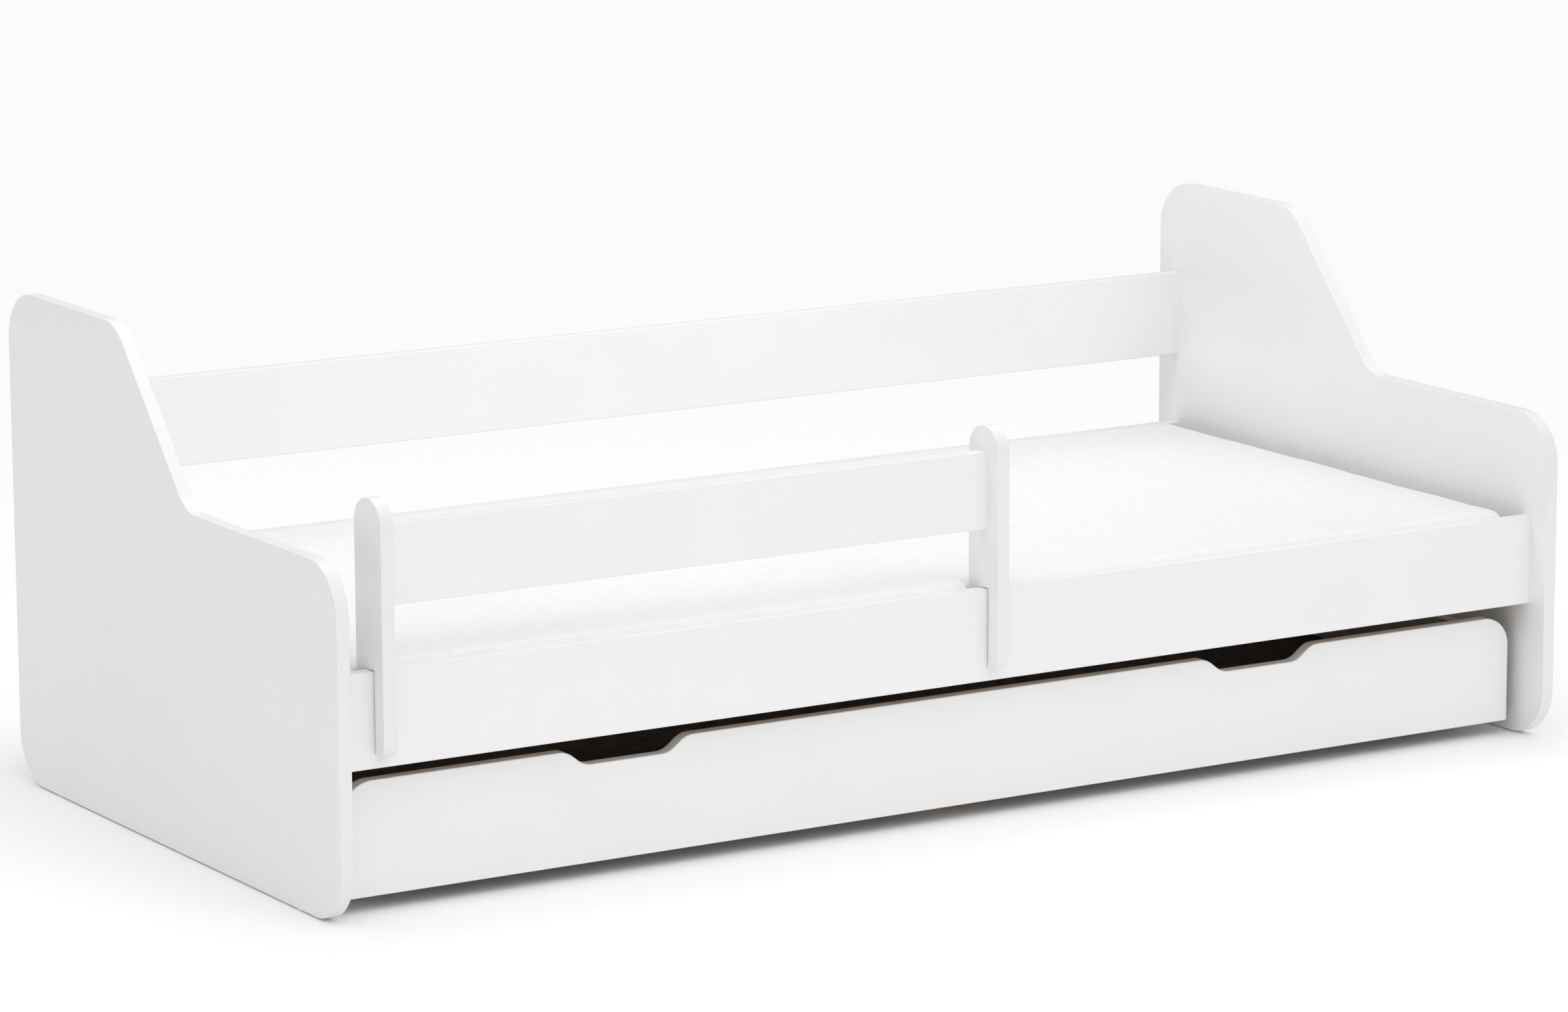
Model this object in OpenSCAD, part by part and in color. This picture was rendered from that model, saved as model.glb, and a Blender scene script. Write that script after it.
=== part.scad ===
// Toddler bed with a stepped end panel at each end, a loose guard and a rolling drawer.
// Axes: +X along the bed to its foot, +Y to the back, +Z up.
// The origin is on the floor under the middle of the bed.

/* [Bed] */
// Length over both end panels
bed_l = 1844; // [1444:4:2044]
// Width of an end panel, front to back
panel_w = 910; // [890:2:930]
// Height of an end panel at the back
panel_back_h = 656; // [620:1:720]
// Height of an end panel at the front
panel_front_h = 445; // [420:1:480]
// Thickness of every laminated board
board_t = 18; // [16:1:19]
// Radius of an end panel's outer corners
panel_corner_r = 67; // [40:1:80]
// Radius of the hollow corner at the foot of the slope
panel_hollow_r = 60; // [40:1:80]
// Place, front to back, where the slope meets the high edge
slope_back_y = 135; // [120:1:160]
// Place, front to back, where the slope meets the low edge
slope_front_y = -55; // [-80:1:-40]

/* [Rails] */
// Distance of a side rail's outer face from the panel's edge
rail_inset = 33; // [25:1:40]
// Height of every rail board
rail_h = 120; // [110:1:130]
// Height of a side rail's lower edge above the floor
rail_z = 185; // [180:1:190]
// Height of the upper back rail's lower edge
back_rail_z = 406; // [390:1:420]

/* [Slatted base] */
// Number of slats
slat_count = 13; // [10:1:14]
// Width of one slat
slat_w = 75; // [60:1:80]
// Thickness of one slat
slat_t = 16; // [12:1:18]
// Width of the batten that carries the slats
batten_w = 20; // [18:1:24]
// Height of the batten
batten_h = 22; // [18:1:24]

/* [Mattress] */
// Thickness of the mattress at its edge
mattress_t = 84; // [80:1:110]
// Clearance at each end of the mattress
mattress_end_gap = 14; // [5:1:18]
// Clearance between the mattress and the front rail
mattress_front_gap = 1; // [1:1:10]

/* [Guard] */
// Length over both guard posts
guard_l = 900; // [700:10:1000]
// Left face of the left post
guard_x = -856; // [-860:1:-700]
// Width of a post, front to back
post_w = 68; // [64:1:69]
// Height of a post's round top above the floor
post_top_z = 516; // [500:1:540]
// Distance that a post stands out in front of the rail
post_lip = 24; // [20:1:28]
// Height of the guard board
guard_h = 100; // [80:1:110]
// Height of the guard board's lower edge above the floor
guard_z = 383; // [370:1:390]

/* [Drawer] */
// Gap between the drawer front and each end panel
front_gap = 16; // [8:1:20]
// Height of the drawer front
front_h = 145; // [140:1:150]
// Gap between the drawer front and the floor
front_z = 20; // [18:1:22]
// Radius of the drawer front's top corners
front_corner_r = 40; // [20:1:50]
// Setback of the drawer front behind the face of the rail
front_setback = 24; // [20:1:28]
// Depth of the drawer, front face to back face
drawer_d = 768; // [700:1:780]
// Middle of the left finger cut-out
grip_left_x = -492; // [-520:1:-460]
// Middle of the right finger cut-out
grip_right_x = 473; // [440:1:500]
// Width of a cut-out at half its depth
grip_w = 146; // [120:1:160]
// Depth of a cut-out
grip_depth = 20; // [16:1:24]

/* [Castors] */
// Radius of a castor wheel
wheel_r = 20; // [18:1:21]
// Width of a castor wheel
wheel_w = 14; // [12:1:16]
// Radius of a castor axle
axle_r = 3; // [2.5:0.1:3.5]

/* [Hidden] */
SLATS = [for (i = [1:slat_count]) str("slat_", i < 10 ? "0" : "", i)];
CORNERS = ["front_left", "front_right", "rear_left", "rear_right"];

white = [0.95, 0.95, 0.94];
pine = [0.87, 0.74, 0.55];
steel = [0.72, 0.73, 0.75];
grey_plastic = [0.35, 0.36, 0.38];

// Largest turn between two neighbouring points of a rounded corner, in degrees
arc_step = 4;
// A cut runs this far past the face it opens
past = 1;

// Frame
inner_x = bed_l / 2 - board_t;
glide_t = 2;
glide_r = 8;
glide_y = 340;
glide_pin_r = 2.5;
glide_pin_l = 12;
rail_outer_y = panel_w / 2 - rail_inset;
rail_inner_y = rail_outer_y - board_t;
rail_mid_y = rail_outer_y - board_t / 2;
rail_top_z = rail_z + rail_h;

// Cam fittings
rail_bolt_offsets = [-25, 35];
rail_dowel_offsets = [5];
guard_bolt_offsets = [-25, 25];
drawer_bolt_offsets = [-16, 16];
bolt_thread_r = 2.5;
bolt_thread_l = 11;
bolt_shank_r = 3;
bolt_bore_r = 4;
bolt_reach = 34;
bolt_head_r = 3.5;
cam_r = 7.5;
cam_t = 12.5;
cam_slot_l = 9;
cam_slot_w = 1.6;
cam_slot_d = 2;
dowel_r = 4;
dowel_in_panel = 12;
dowel_in_board = 18;

// Slatted base
slat_z = rail_z + batten_h;
slat_l = 2 * rail_inner_y - 4;
slat_gap = (2 * inner_x - slat_count * slat_w) / (slat_count + 1);
batten_l = 2 * inner_x - 8;
batten_screw_count = 7;
screw_r = 2;
screw_head_r = 4;
screw_head_t = 2;
batten_screw_l = 30;
tape_w = 25;
tape_t = 1.5;
tape_y = 250;

// Mattress
mattress_z = slat_z + slat_t;
mattress_l = 2 * (inner_x - mattress_end_gap);
mattress_y0 = mattress_front_gap - rail_inner_y;
mattress_y1 = rail_inner_y - 1;
mattress_corner_r = 14;
cover_t = 4;

// Guard
post_front_y = -rail_outer_y - post_lip;
post_front_z = 202;
post_back_z = mattress_z + 2;
post_toe_r = 13;
notch_gap = 2;
notch_relief = 1.2;
notch_seat = 3;
post_round_r = post_w / 2 - 0.01;
guard_mid_x = guard_x + guard_l / 2;
guard_board_l = guard_l - 2 * board_t;
guard_mid_z = guard_z + guard_h / 2;

// Dents that the guard's inner legs press into the front of the mattress
dent_gap = 3;
dent_w = board_t + 2 * dent_gap;
dent_y = post_front_y + post_w + dent_gap;
dent_mouth_r = 11;
dent_floor_r = 3;
left_dent_x = guard_x + board_t / 2;
right_dent_x = guard_x + guard_l - board_t / 2;

// Drawer
front_y = front_setback - rail_outer_y;
front_back_y = front_y + board_t;
front_top_z = front_z + front_h;
front_w = 2 * (inner_x - front_gap);
grip_slope = 38;
grip_r = 30;
grip_run = grip_depth / tan(grip_slope) / 2;
side_t = 16;
side_x = front_w / 2 - 28;
side_z = 30;
side_top_z = 150;
side_joint_z = 112;
back_y = front_y + drawer_d - side_t;
bottom_t = 6;
bottom_groove = 6;
bottom_z = 66;
bearer_w = 60;
bearer_t = 18;
bearer_x = side_x - 60;
bearer_screw_y = [-320, 0, 300];
bearer_z = bottom_z - bearer_t;
bottom_screw_l = 18;
back_screw_r = 2.5;
back_screw_l = 50;
back_screw_head_r = 5;
back_screw_head_t = 4;
back_screw_z = [92, 132];
back_nail_x = [-600, -200, 200, 600];

// Castors
castor_front_y = -310;
castor_rear_y = 290;
plate_t = 2.5;
plate_w = 50;
plate_l = 64;
cheek_t = 2.5;
cheek_gap = 1.25;
cheek_w = 26;
cheek_x = wheel_w / 2 + cheek_gap;
plate_z = bearer_z - plate_t;
axle_l = 2 * (cheek_x + cheek_t);
axle_head_r = 5;
axle_head_t = 1.5;
axle_gap = 0.08;
tyre_round_r = 3;
wheel_recess_r = 13;
wheel_recess_d = 2;
hub_r = 6;
castor_screw_r = 1.75;
castor_screw_l = 15;
castor_screw_x = 18;
castor_screw_y = 24;

// ---- Outlines -------------------------------------------------------------

function wrapped(angle) = angle > 180 ? angle - 360 : (angle < -180 ? angle + 360 : angle);

// Points of the arc of radius r that touches both edges of the corner p, between a and b
function corner_arc(a, p, b, r) =
    let (
        to_a = (a - p) / norm(a - p),
        to_b = (b - p) / norm(b - p),
        half = acos(to_a * to_b) / 2,
        middle = (to_a + to_b) / norm(to_a + to_b),
        centre = p + middle * r / sin(half),
        start = p + to_a * r / tan(half) - centre,
        stop = p + to_b * r / tan(half) - centre,
        first = atan2(start[1], start[0]),
        sweep = wrapped(atan2(stop[1], stop[0]) - first),
        steps = max(2, ceil(abs(sweep) / arc_step))
    )
    [for (i = [0:steps]) centre + r * [cos(first + sweep * i / steps), sin(first + sweep * i / steps)]];

// Outline through corners given as [across, up, radius]; a radius of 0 keeps the corner sharp
function rounded(corners) =
    let (n = len(corners), flat = [for (c = corners) [c[0], c[1]]])
    [for (i = [0:n - 1])
        each corners[i][2] == 0
            ? [flat[i]]
            : corner_arc(flat[(i + n - 1) % n], flat[i], flat[(i + 1) % n], corners[i][2])];

// Corners of one finger cut-out, from its right-hand end to its left-hand end
function grip_corners(x) =
    [
        [x + grip_w / 2 + grip_run, front_top_z, grip_r],
        [x + grip_w / 2 - grip_run, front_top_z - grip_depth, grip_r],
        [x - grip_w / 2 + grip_run, front_top_z - grip_depth, grip_r],
        [x - grip_w / 2 - grip_run, front_top_z, grip_r]
    ];

// A board cut to an outline in Y and Z, with its left face at x
module side_board(x, corners) {
    translate([x, 0, 0])
        rotate([90, 0, 90])
            linear_extrude(board_t)
                polygon(rounded(corners));
}

// A board cut to an outline in X and Z, with its front face at y
module front_board(y, corners) {
    translate([0, y + board_t, 0])
        rotate([90, 0, 0])
            linear_extrude(board_t)
                polygon(rounded(corners));
}

// A box between two opposite corners
module span(low, high) {
    translate(low)
        cube(high - low);
}

// A cylinder along X whose low end is at the given place
module rod_x(place, r, l) {
    translate(place)
        rotate([0, 90, 0])
            cylinder(r = r, h = l, $fn = 48);
}

// ---- Cam fitting ----------------------------------------------------------
// Each joint is drawn about the origin: the panel is at -X, the board that holds
// the cam runs along +X with its middle at y = 0, and the cam opens on its +Y face.

module cam_bolt() {
    color(steel)
        union() {
            rod_x([-bolt_thread_l, 0, 0], bolt_thread_r, bolt_thread_l);
            rod_x([0, 0, 0], bolt_shank_r, bolt_reach - bolt_head_r);
            rod_x([bolt_reach - bolt_head_r, 0, 0], bolt_head_r, bolt_head_r);
        }
}

module cam_lock(t) {
    color(steel)
        difference() {
            translate([bolt_reach, t / 2 - cam_t, 0])
                rotate([-90, 0, 0])
                    cylinder(r = cam_r, h = cam_t, $fn = 64);
            rod_x([bolt_reach - cam_r - past, 0, 0], bolt_bore_r, cam_r + past + bolt_head_r);
            for (turn = [0, 90])
                translate([bolt_reach, t / 2, 0])
                    rotate([0, turn, 0])
                        cube([cam_slot_l, 2 * cam_slot_d, cam_slot_w], center = true);
        }
}

module cam_dowel() {
    color(pine)
        rod_x([-dowel_in_panel, 0, 0], dowel_r, dowel_in_panel + dowel_in_board);
}

// Holes that a bolt and a dowel need in the panel
module bolt_panel_hole() {
    rod_x([-bolt_thread_l, 0, 0], bolt_thread_r, bolt_thread_l + past);
}

module dowel_panel_hole() {
    rod_x([-dowel_in_panel, 0, 0], dowel_r, dowel_in_panel + past);
}

// Holes that they need in the board
module bolt_board_hole(t) {
    rod_x([-past, 0, 0], bolt_bore_r, bolt_reach + past);
    translate([bolt_reach, t / 2 - cam_t, 0])
        rotate([-90, 0, 0])
            cylinder(r = cam_r, h = cam_t + past, $fn = 64);
}

module dowel_board_hole() {
    rod_x([-past, 0, 0], dowel_r, dowel_in_board + past);
}

// Puts its children at both ends of a board that runs along X between half-lengths x
module at_both_ends(middle_x, x) {
    for (side = [0, 1])
        translate([middle_x, 0, 0])
            mirror([side, 0, 0])
                translate([-x, 0, 0])
                    children();
}

// Puts its children at the bolts, or at the dowel, of both ends of one rail
module at_rail(y, z, offsets) {
    at_both_ends(0, inner_x)
        for (dz = offsets)
            translate([0, y, z + rail_h / 2 + dz])
                children();
}

rail_places = [[-rail_mid_y, rail_z], [rail_mid_y, rail_z], [rail_mid_y, back_rail_z]];

module at_every_rail(offsets) {
    for (place = rail_places)
        at_rail(place[0], place[1], offsets)
            children();
}

// ---- Frame ----------------------------------------------------------------

panel_corners = [
    [-panel_w / 2, glide_t, panel_corner_r],
    [panel_w / 2, glide_t, panel_corner_r],
    [panel_w / 2, panel_back_h, panel_corner_r],
    [slope_back_y, panel_back_h, panel_corner_r],
    [slope_front_y, panel_front_h, panel_hollow_r],
    [-panel_w / 2, panel_front_h, panel_corner_r]
];

module glide_pins() {
    at_both_ends(0, bed_l / 2 - board_t / 2)
        for (y = [-glide_y, glide_y])
            translate([0, y, glide_t])
                cylinder(r = glide_pin_r, h = glide_pin_l, $fn = 32);
}

module end_panel(x) {
    color(white)
        difference() {
            side_board(x, panel_corners);
            at_every_rail(rail_bolt_offsets)
                bolt_panel_hole();
            at_every_rail(rail_dowel_offsets)
                dowel_panel_hole();
            glide_pins();
        }
}

module rail(y, z) {
    color(white)
        difference() {
            span([-inner_x, y - board_t / 2, z], [inner_x, y + board_t / 2, z + rail_h]);
            at_rail(y, z, rail_bolt_offsets)
                bolt_board_hole(board_t);
            at_rail(y, z, rail_dowel_offsets)
                dowel_board_hole();
        }
}

module front_side_rail() {
    difference() {
        rail(-rail_mid_y, rail_z);
        batten_screw_shanks(-1);
    }
}

module rear_side_rail() {
    difference() {
        rail(rail_mid_y, rail_z);
        batten_screw_shanks(1);
    }
}

module frame_cam_bolts() {
    at_every_rail(rail_bolt_offsets)
        cam_bolt();
}

module frame_cam_locks() {
    at_every_rail(rail_bolt_offsets)
        cam_lock(board_t);
}

module frame_dowels() {
    at_every_rail(rail_dowel_offsets)
        cam_dowel();
}

module floor_glides() {
    color(grey_plastic)
        union() {
            glide_pins();
            at_both_ends(0, bed_l / 2 - board_t / 2)
                for (y = [-glide_y, glide_y])
                    translate([0, y, 0])
                        cylinder(r = glide_r, h = glide_t, $fn = 48);
        }
}

// ---- Slatted base ---------------------------------------------------------

// Puts its children at the screws of one batten; side is -1 at the front and 1 at the back
module at_batten_screws(side) {
    step = batten_l / batten_screw_count;
    y = side * (rail_inner_y - batten_w);
    for (i = [0:batten_screw_count - 1])
        translate([(i + 0.5) * step - batten_l / 2, y, rail_z + batten_h / 2])
            rotate([-90 * side, 0, 0])
                children();
}

module batten_screw_shanks(side) {
    at_batten_screws(side)
        cylinder(r = screw_r, h = batten_screw_l, $fn = 32);
}

module batten_screw_heads(side) {
    at_batten_screws(side)
        cylinder(r1 = screw_head_r, r2 = screw_r, h = screw_head_t, $fn = 32);
}

module slat_batten(side) {
    color(pine)
        difference() {
            translate([-batten_l / 2, side > 0 ? rail_inner_y - batten_w : -rail_inner_y, rail_z])
                cube([batten_l, batten_w, batten_h]);
            batten_screw_shanks(side);
            batten_screw_heads(side);
        }
}

module batten_screws() {
    color(steel)
        for (side = [-1, 1])
            union() {
                batten_screw_shanks(side);
                batten_screw_heads(side);
            }
}

module slat(i) {
    color(pine)
        translate([-inner_x + slat_gap + i * (slat_w + slat_gap), -slat_l / 2, slat_z])
            cube([slat_w, slat_l, slat_t]);
}

module slat_tape(side) {
    color(white)
        translate([-inner_x + slat_gap, side * tape_y - tape_w / 2, slat_z - tape_t])
            cube([2 * (inner_x - slat_gap), tape_w, tape_t]);
}

// ---- Mattress -------------------------------------------------------------

// Corners of one dent, from left to right
function dent_corners(x) = [
    [x - dent_w / 2, mattress_y0, dent_mouth_r],
    [x - dent_w / 2, dent_y, dent_floor_r],
    [x + dent_w / 2, dent_y, dent_floor_r],
    [x + dent_w / 2, mattress_y0, dent_mouth_r]
];

// Corners of the mattress seen from above
mattress_corners = concat(
    [[-mattress_l / 2, mattress_y0, mattress_corner_r]],
    dent_corners(left_dent_x),
    dent_corners(right_dent_x),
    [
        [mattress_l / 2, mattress_y0, mattress_corner_r],
        [mattress_l / 2, mattress_y1, mattress_corner_r],
        [-mattress_l / 2, mattress_y1, mattress_corner_r]
    ]
);

// Plain block behind the dents
module mattress_inside() {
    span(
        [cover_t - mattress_l / 2, dent_y + cover_t, mattress_z + cover_t],
        [mattress_l / 2 - cover_t, mattress_y1 - cover_t, mattress_z + mattress_t - cover_t]
    );
}

module mattress_core() {
    color([0.93, 0.90, 0.80])
        mattress_inside();
}

module mattress_cover() {
    color([0.97, 0.97, 0.97])
        difference() {
            translate([0, 0, mattress_z])
                linear_extrude(mattress_t)
                    polygon(rounded(mattress_corners));
            mattress_inside();
        }
}

// ---- Guard ----------------------------------------------------------------

post_corners = [
    [post_front_y, post_front_z, post_toe_r],
    [-rail_outer_y - notch_gap, post_front_z, 2],
    [-rail_outer_y - notch_gap, rail_top_z + notch_relief, 0],
    [-rail_inner_y - notch_seat, rail_top_z + notch_relief, 0],
    [-rail_inner_y - notch_seat, rail_top_z, 0],
    [-rail_inner_y + notch_gap, rail_top_z, 0],
    [-rail_inner_y + notch_gap, post_back_z, 2],
    [post_front_y + post_w, post_back_z, 8],
    [post_front_y + post_w, post_top_z, post_round_r],
    [post_front_y, post_top_z, post_round_r]
];

module at_guard_bolts() {
    at_both_ends(guard_mid_x, guard_board_l / 2)
        for (dz = guard_bolt_offsets)
            translate([0, -rail_mid_y, guard_mid_z + dz])
                children();
}

module guard_post(x) {
    color(white)
        difference() {
            side_board(x, post_corners);
            at_guard_bolts()
                bolt_panel_hole();
        }
}

module guard_board() {
    color(white)
        difference() {
            span(
                [guard_x + board_t, -rail_outer_y, guard_z],
                [guard_x + guard_l - board_t, -rail_inner_y, guard_z + guard_h]
            );
            at_guard_bolts()
                bolt_board_hole(board_t);
        }
}

module guard_cam_bolts() {
    at_guard_bolts()
        cam_bolt();
}

module guard_cam_locks() {
    at_guard_bolts()
        cam_lock(board_t);
}

// ---- Drawer ---------------------------------------------------------------

front_corners = concat(
    [
        [-front_w / 2, front_z, 2],
        [front_w / 2, front_z, 2],
        [front_w / 2, front_top_z, front_corner_r]
    ],
    grip_corners(grip_right_x),
    grip_corners(grip_left_x),
    [[-front_w / 2, front_top_z, front_corner_r]]
);

// Puts its children at the two fittings that hold each side to the drawer front
module at_drawer_bolts() {
    for (side = [0, 1])
        mirror([1 - side, 0, 0])
            for (dz = drawer_bolt_offsets)
                translate([side_x - side_t / 2, front_back_y, side_joint_z + dz])
                    rotate([0, 0, 90])
                        children();
}

module drawer_front() {
    color(white)
        difference() {
            front_board(front_y, front_corners);
            at_drawer_bolts()
                bolt_panel_hole();
            drawer_bottom_sheet();
        }
}

// Sheet that slides into the grooves, drawn at its full size
module drawer_bottom_sheet() {
    x = side_x - side_t + bottom_groove;
    span(
        [-x, front_back_y - bottom_groove, bottom_z],
        [x, back_y + side_t, bottom_z + bottom_t]
    );
}

// Screws through a side into the end of the back
module back_screws() {
    for (side = [0, 1])
        mirror([1 - side, 0, 0])
            for (z = back_screw_z)
                translate([side_x, back_y + side_t / 2, z])
                    rotate([0, -90, 0]) {
                        cylinder(r = back_screw_r, h = back_screw_l, $fn = 32);
                        cylinder(r = back_screw_head_r, h = back_screw_head_t, $fn = 32);
                    }
}

// Screws down through the bottom into the bearers and up into the back
module bottom_screws() {
    for (x = [-bearer_x, 0, bearer_x])
        for (y = bearer_screw_y)
            translate([x, y, bottom_z + bottom_t - bottom_screw_l])
                cylinder(r = screw_r, h = bottom_screw_l, $fn = 32);
    for (x = back_nail_x)
        translate([x, back_y + side_t / 2, bottom_z])
            cylinder(r = screw_r, h = bottom_screw_l, $fn = 32);
}

module drawer_screws() {
    color(steel)
        union() {
            back_screws();
            bottom_screws();
        }
}

// The side board at +X, with its grooves and holes
module side_blank() {
    difference() {
        span([side_x - side_t, front_back_y, side_z], [side_x, back_y + side_t, side_top_z]);
        at_drawer_bolts()
            bolt_board_hole(side_t);
        drawer_bottom_sheet();
        back_screws();
    }
}

module drawer_side(side) {
    color(white)
        mirror([side < 0 ? 1 : 0, 0, 0])
            side_blank();
}

module drawer_back() {
    color(white)
        difference() {
            span(
                [-side_x + side_t, back_y, bottom_z + bottom_t],
                [side_x - side_t, back_y + side_t, side_top_z]
            );
            back_screws();
            bottom_screws();
        }
}

module drawer_bottom() {
    color(white)
        difference() {
            drawer_bottom_sheet();
            bottom_screws();
        }
}

module bearer(x) {
    color(pine)
        difference() {
            span(
                [x - bearer_w / 2, front_back_y, bearer_z],
                [x + bearer_w / 2, back_y + side_t, bottom_z]
            );
            bottom_screws();
            castor_screws();
        }
}

module drawer_cam_bolts() {
    at_drawer_bolts()
        cam_bolt();
}

module drawer_cam_locks() {
    at_drawer_bolts()
        cam_lock(side_t);
}

// ---- Castors --------------------------------------------------------------

function castor_place(corner) =
    [
        (corner % 2 == 0 ? -1 : 1) * bearer_x,
        corner < 2 ? castor_front_y : castor_rear_y,
        wheel_r
    ];

module castor_screw_set() {
    for (x = [-castor_screw_x, castor_screw_x])
        for (y = [-castor_screw_y, castor_screw_y])
            translate([x, y, plate_z - wheel_r - screw_head_t]) {
                cylinder(r = castor_screw_r, h = castor_screw_l, $fn = 32);
                cylinder(r = screw_head_r, h = screw_head_t, $fn = 32);
            }
}

module castor_screws() {
    color(steel)
        for (corner = [0:3])
            translate(castor_place(corner))
                castor_screw_set();
}

// One cheek: a strap with a round lower end, drilled for the axle
module cheek(x) {
    difference() {
        union() {
            rod_x([x, 0, 0], cheek_w / 2, cheek_t);
            translate([x, -cheek_w / 2, 0])
                cube([cheek_t, cheek_w, plate_z - wheel_r]);
        }
        rod_x([x - past, 0, 0], axle_r, cheek_t + 2 * past);
    }
}

module castor_housing(corner) {
    color(grey_plastic)
        translate(castor_place(corner))
            difference() {
                union() {
                    translate([-plate_w / 2, -plate_l / 2, plate_z - wheel_r])
                        cube([plate_w, plate_l, plate_t]);
                    cheek(cheek_x);
                    cheek(-cheek_x - cheek_t);
                }
                castor_screw_set();
            }
}

module castor_axle(corner) {
    color(steel)
        translate(castor_place(corner))
            union() {
                rod_x([-axle_l / 2, 0, 0], axle_r, axle_l);
                rod_x([-axle_l / 2 - axle_head_t, 0, 0], axle_head_r, axle_head_t);
                rod_x([axle_l / 2, 0, 0], axle_head_r, axle_head_t);
            }
}

// Half of a wheel's section, from the bore outwards, turned about its axle
module castor_wheel(corner) {
    half = wheel_w / 2;
    lip = half - wheel_recess_d;
    section = rounded([
        [axle_r + axle_gap, -half, 0],
        [hub_r, -half, 0],
        [hub_r, -lip, 0],
        [wheel_recess_r, -lip, 0],
        [wheel_recess_r + wheel_recess_d, -half, 0],
        [wheel_r, -half, tyre_round_r],
        [wheel_r, half, tyre_round_r],
        [wheel_recess_r + wheel_recess_d, half, 0],
        [wheel_recess_r, lip, 0],
        [hub_r, lip, 0],
        [hub_r, half, 0],
        [axle_r + axle_gap, half, 0]
    ]);
    color(grey_plastic)
        translate(castor_place(corner))
            rotate([0, 90, 0])
                rotate_extrude($fn = 96)
                    polygon(section);
}

// ---- Assembly -------------------------------------------------------------

end_panel(-bed_l / 2);  // left_end_panel
end_panel(inner_x);  // right_end_panel
front_side_rail();
rear_side_rail();
rail(rail_mid_y, back_rail_z);  // upper_back_rail
frame_cam_bolts();
frame_cam_locks();
frame_dowels();
floor_glides();
slat_batten(-1);  // front_slat_batten
slat_batten(1);  // rear_slat_batten
batten_screws();
for (i = [0:slat_count - 1])
    slat(i);
slat_tape(-1);  // front_slat_tape
slat_tape(1);  // rear_slat_tape
mattress_core();
mattress_cover();
guard_post(guard_x);  // guard_left_post
guard_post(guard_x + guard_l - board_t);  // guard_right_post
guard_board();
guard_cam_bolts();
guard_cam_locks();
drawer_front();
drawer_side(-1);  // drawer_left_side
drawer_side(1);  // drawer_right_side
drawer_back();
drawer_bottom();
bearer(-bearer_x);  // drawer_left_bearer
bearer(0);  // drawer_centre_bearer
bearer(bearer_x);  // drawer_right_bearer
drawer_cam_bolts();
drawer_cam_locks();
drawer_screws();
for (corner = [0:3]) {
    castor_housing(corner);
    castor_axle(corner);
    castor_wheel(corner);
}
castor_screws();
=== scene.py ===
"""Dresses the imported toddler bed: laminated boards, slatted base, mattress, guard and rolling drawer.

Every board is a closed outline worked out with numpy and carried round its edges by a small rounded
section. The mattress is a rounded block with a soft, slightly uneven surface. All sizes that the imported
model holds are read from it, so each piece lies where its solid lies.
"""

import logging
import math
from collections.abc import Sequence
from dataclasses import dataclass
from enum import Enum

import bmesh
import bpy
import numpy as np
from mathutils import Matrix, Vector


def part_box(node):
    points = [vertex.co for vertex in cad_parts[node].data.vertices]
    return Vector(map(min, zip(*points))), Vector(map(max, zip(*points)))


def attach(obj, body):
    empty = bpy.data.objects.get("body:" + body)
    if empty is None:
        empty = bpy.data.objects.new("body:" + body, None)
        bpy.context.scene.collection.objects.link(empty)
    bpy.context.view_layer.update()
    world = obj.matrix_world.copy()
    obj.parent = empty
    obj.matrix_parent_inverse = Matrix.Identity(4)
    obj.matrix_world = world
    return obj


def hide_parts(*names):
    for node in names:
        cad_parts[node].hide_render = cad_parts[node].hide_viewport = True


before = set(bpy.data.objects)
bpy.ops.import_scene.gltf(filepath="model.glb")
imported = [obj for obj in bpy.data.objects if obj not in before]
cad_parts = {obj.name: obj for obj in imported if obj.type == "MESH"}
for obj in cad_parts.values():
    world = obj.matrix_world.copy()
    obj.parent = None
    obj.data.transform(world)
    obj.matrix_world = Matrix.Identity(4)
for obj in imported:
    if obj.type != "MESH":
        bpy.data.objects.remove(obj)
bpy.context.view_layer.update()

MM = 0.001
SMOOTH_BELOW = math.radians(35)
POCKET_STEPS = 28
Colour = tuple[float, float, float]
Place = tuple[float, float, float]
Axes = tuple[int, int, int]
Socket = bpy.types.NodeSocket
Material = bpy.types.Material

logging.basicConfig(level=logging.INFO, format="%(message)s")
log = logging.getLogger("bed")


# ---- Small choices ---------------------------------------------------------


class Lie(Enum):
    """How a cut board lies: the two axes of its outline, then the axis of its thickness."""

    SIDE = (1, 2, 0)
    FRONT = (0, 2, 1)
    FLAT = (0, 1, 2)


class Run(Enum):
    """The axis that a timber's grain runs along."""

    X = 0
    Y = 1


class Face(Enum):
    """The face of a bored board that its fittings open on, as a sign on its thickness."""

    LOW = -1.0
    HIGH = 1.0


# ---- Surfaces --------------------------------------------------------------


@dataclass
class Patch:
    """Part of a piece: its points, its faces as rows of point numbers, and the finish of each face."""

    points: np.ndarray
    faces: list[list[int]]
    finish: list[int]


def unit(vectors: np.ndarray) -> np.ndarray:
    """Returns each vector divided by its length."""
    return vectors / np.linalg.norm(vectors, axis=-1, keepdims=True)


def box_of(node: str) -> tuple[np.ndarray, np.ndarray]:
    """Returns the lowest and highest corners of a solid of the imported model."""
    low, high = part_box(node)
    return np.array(low), np.array(high)


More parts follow.
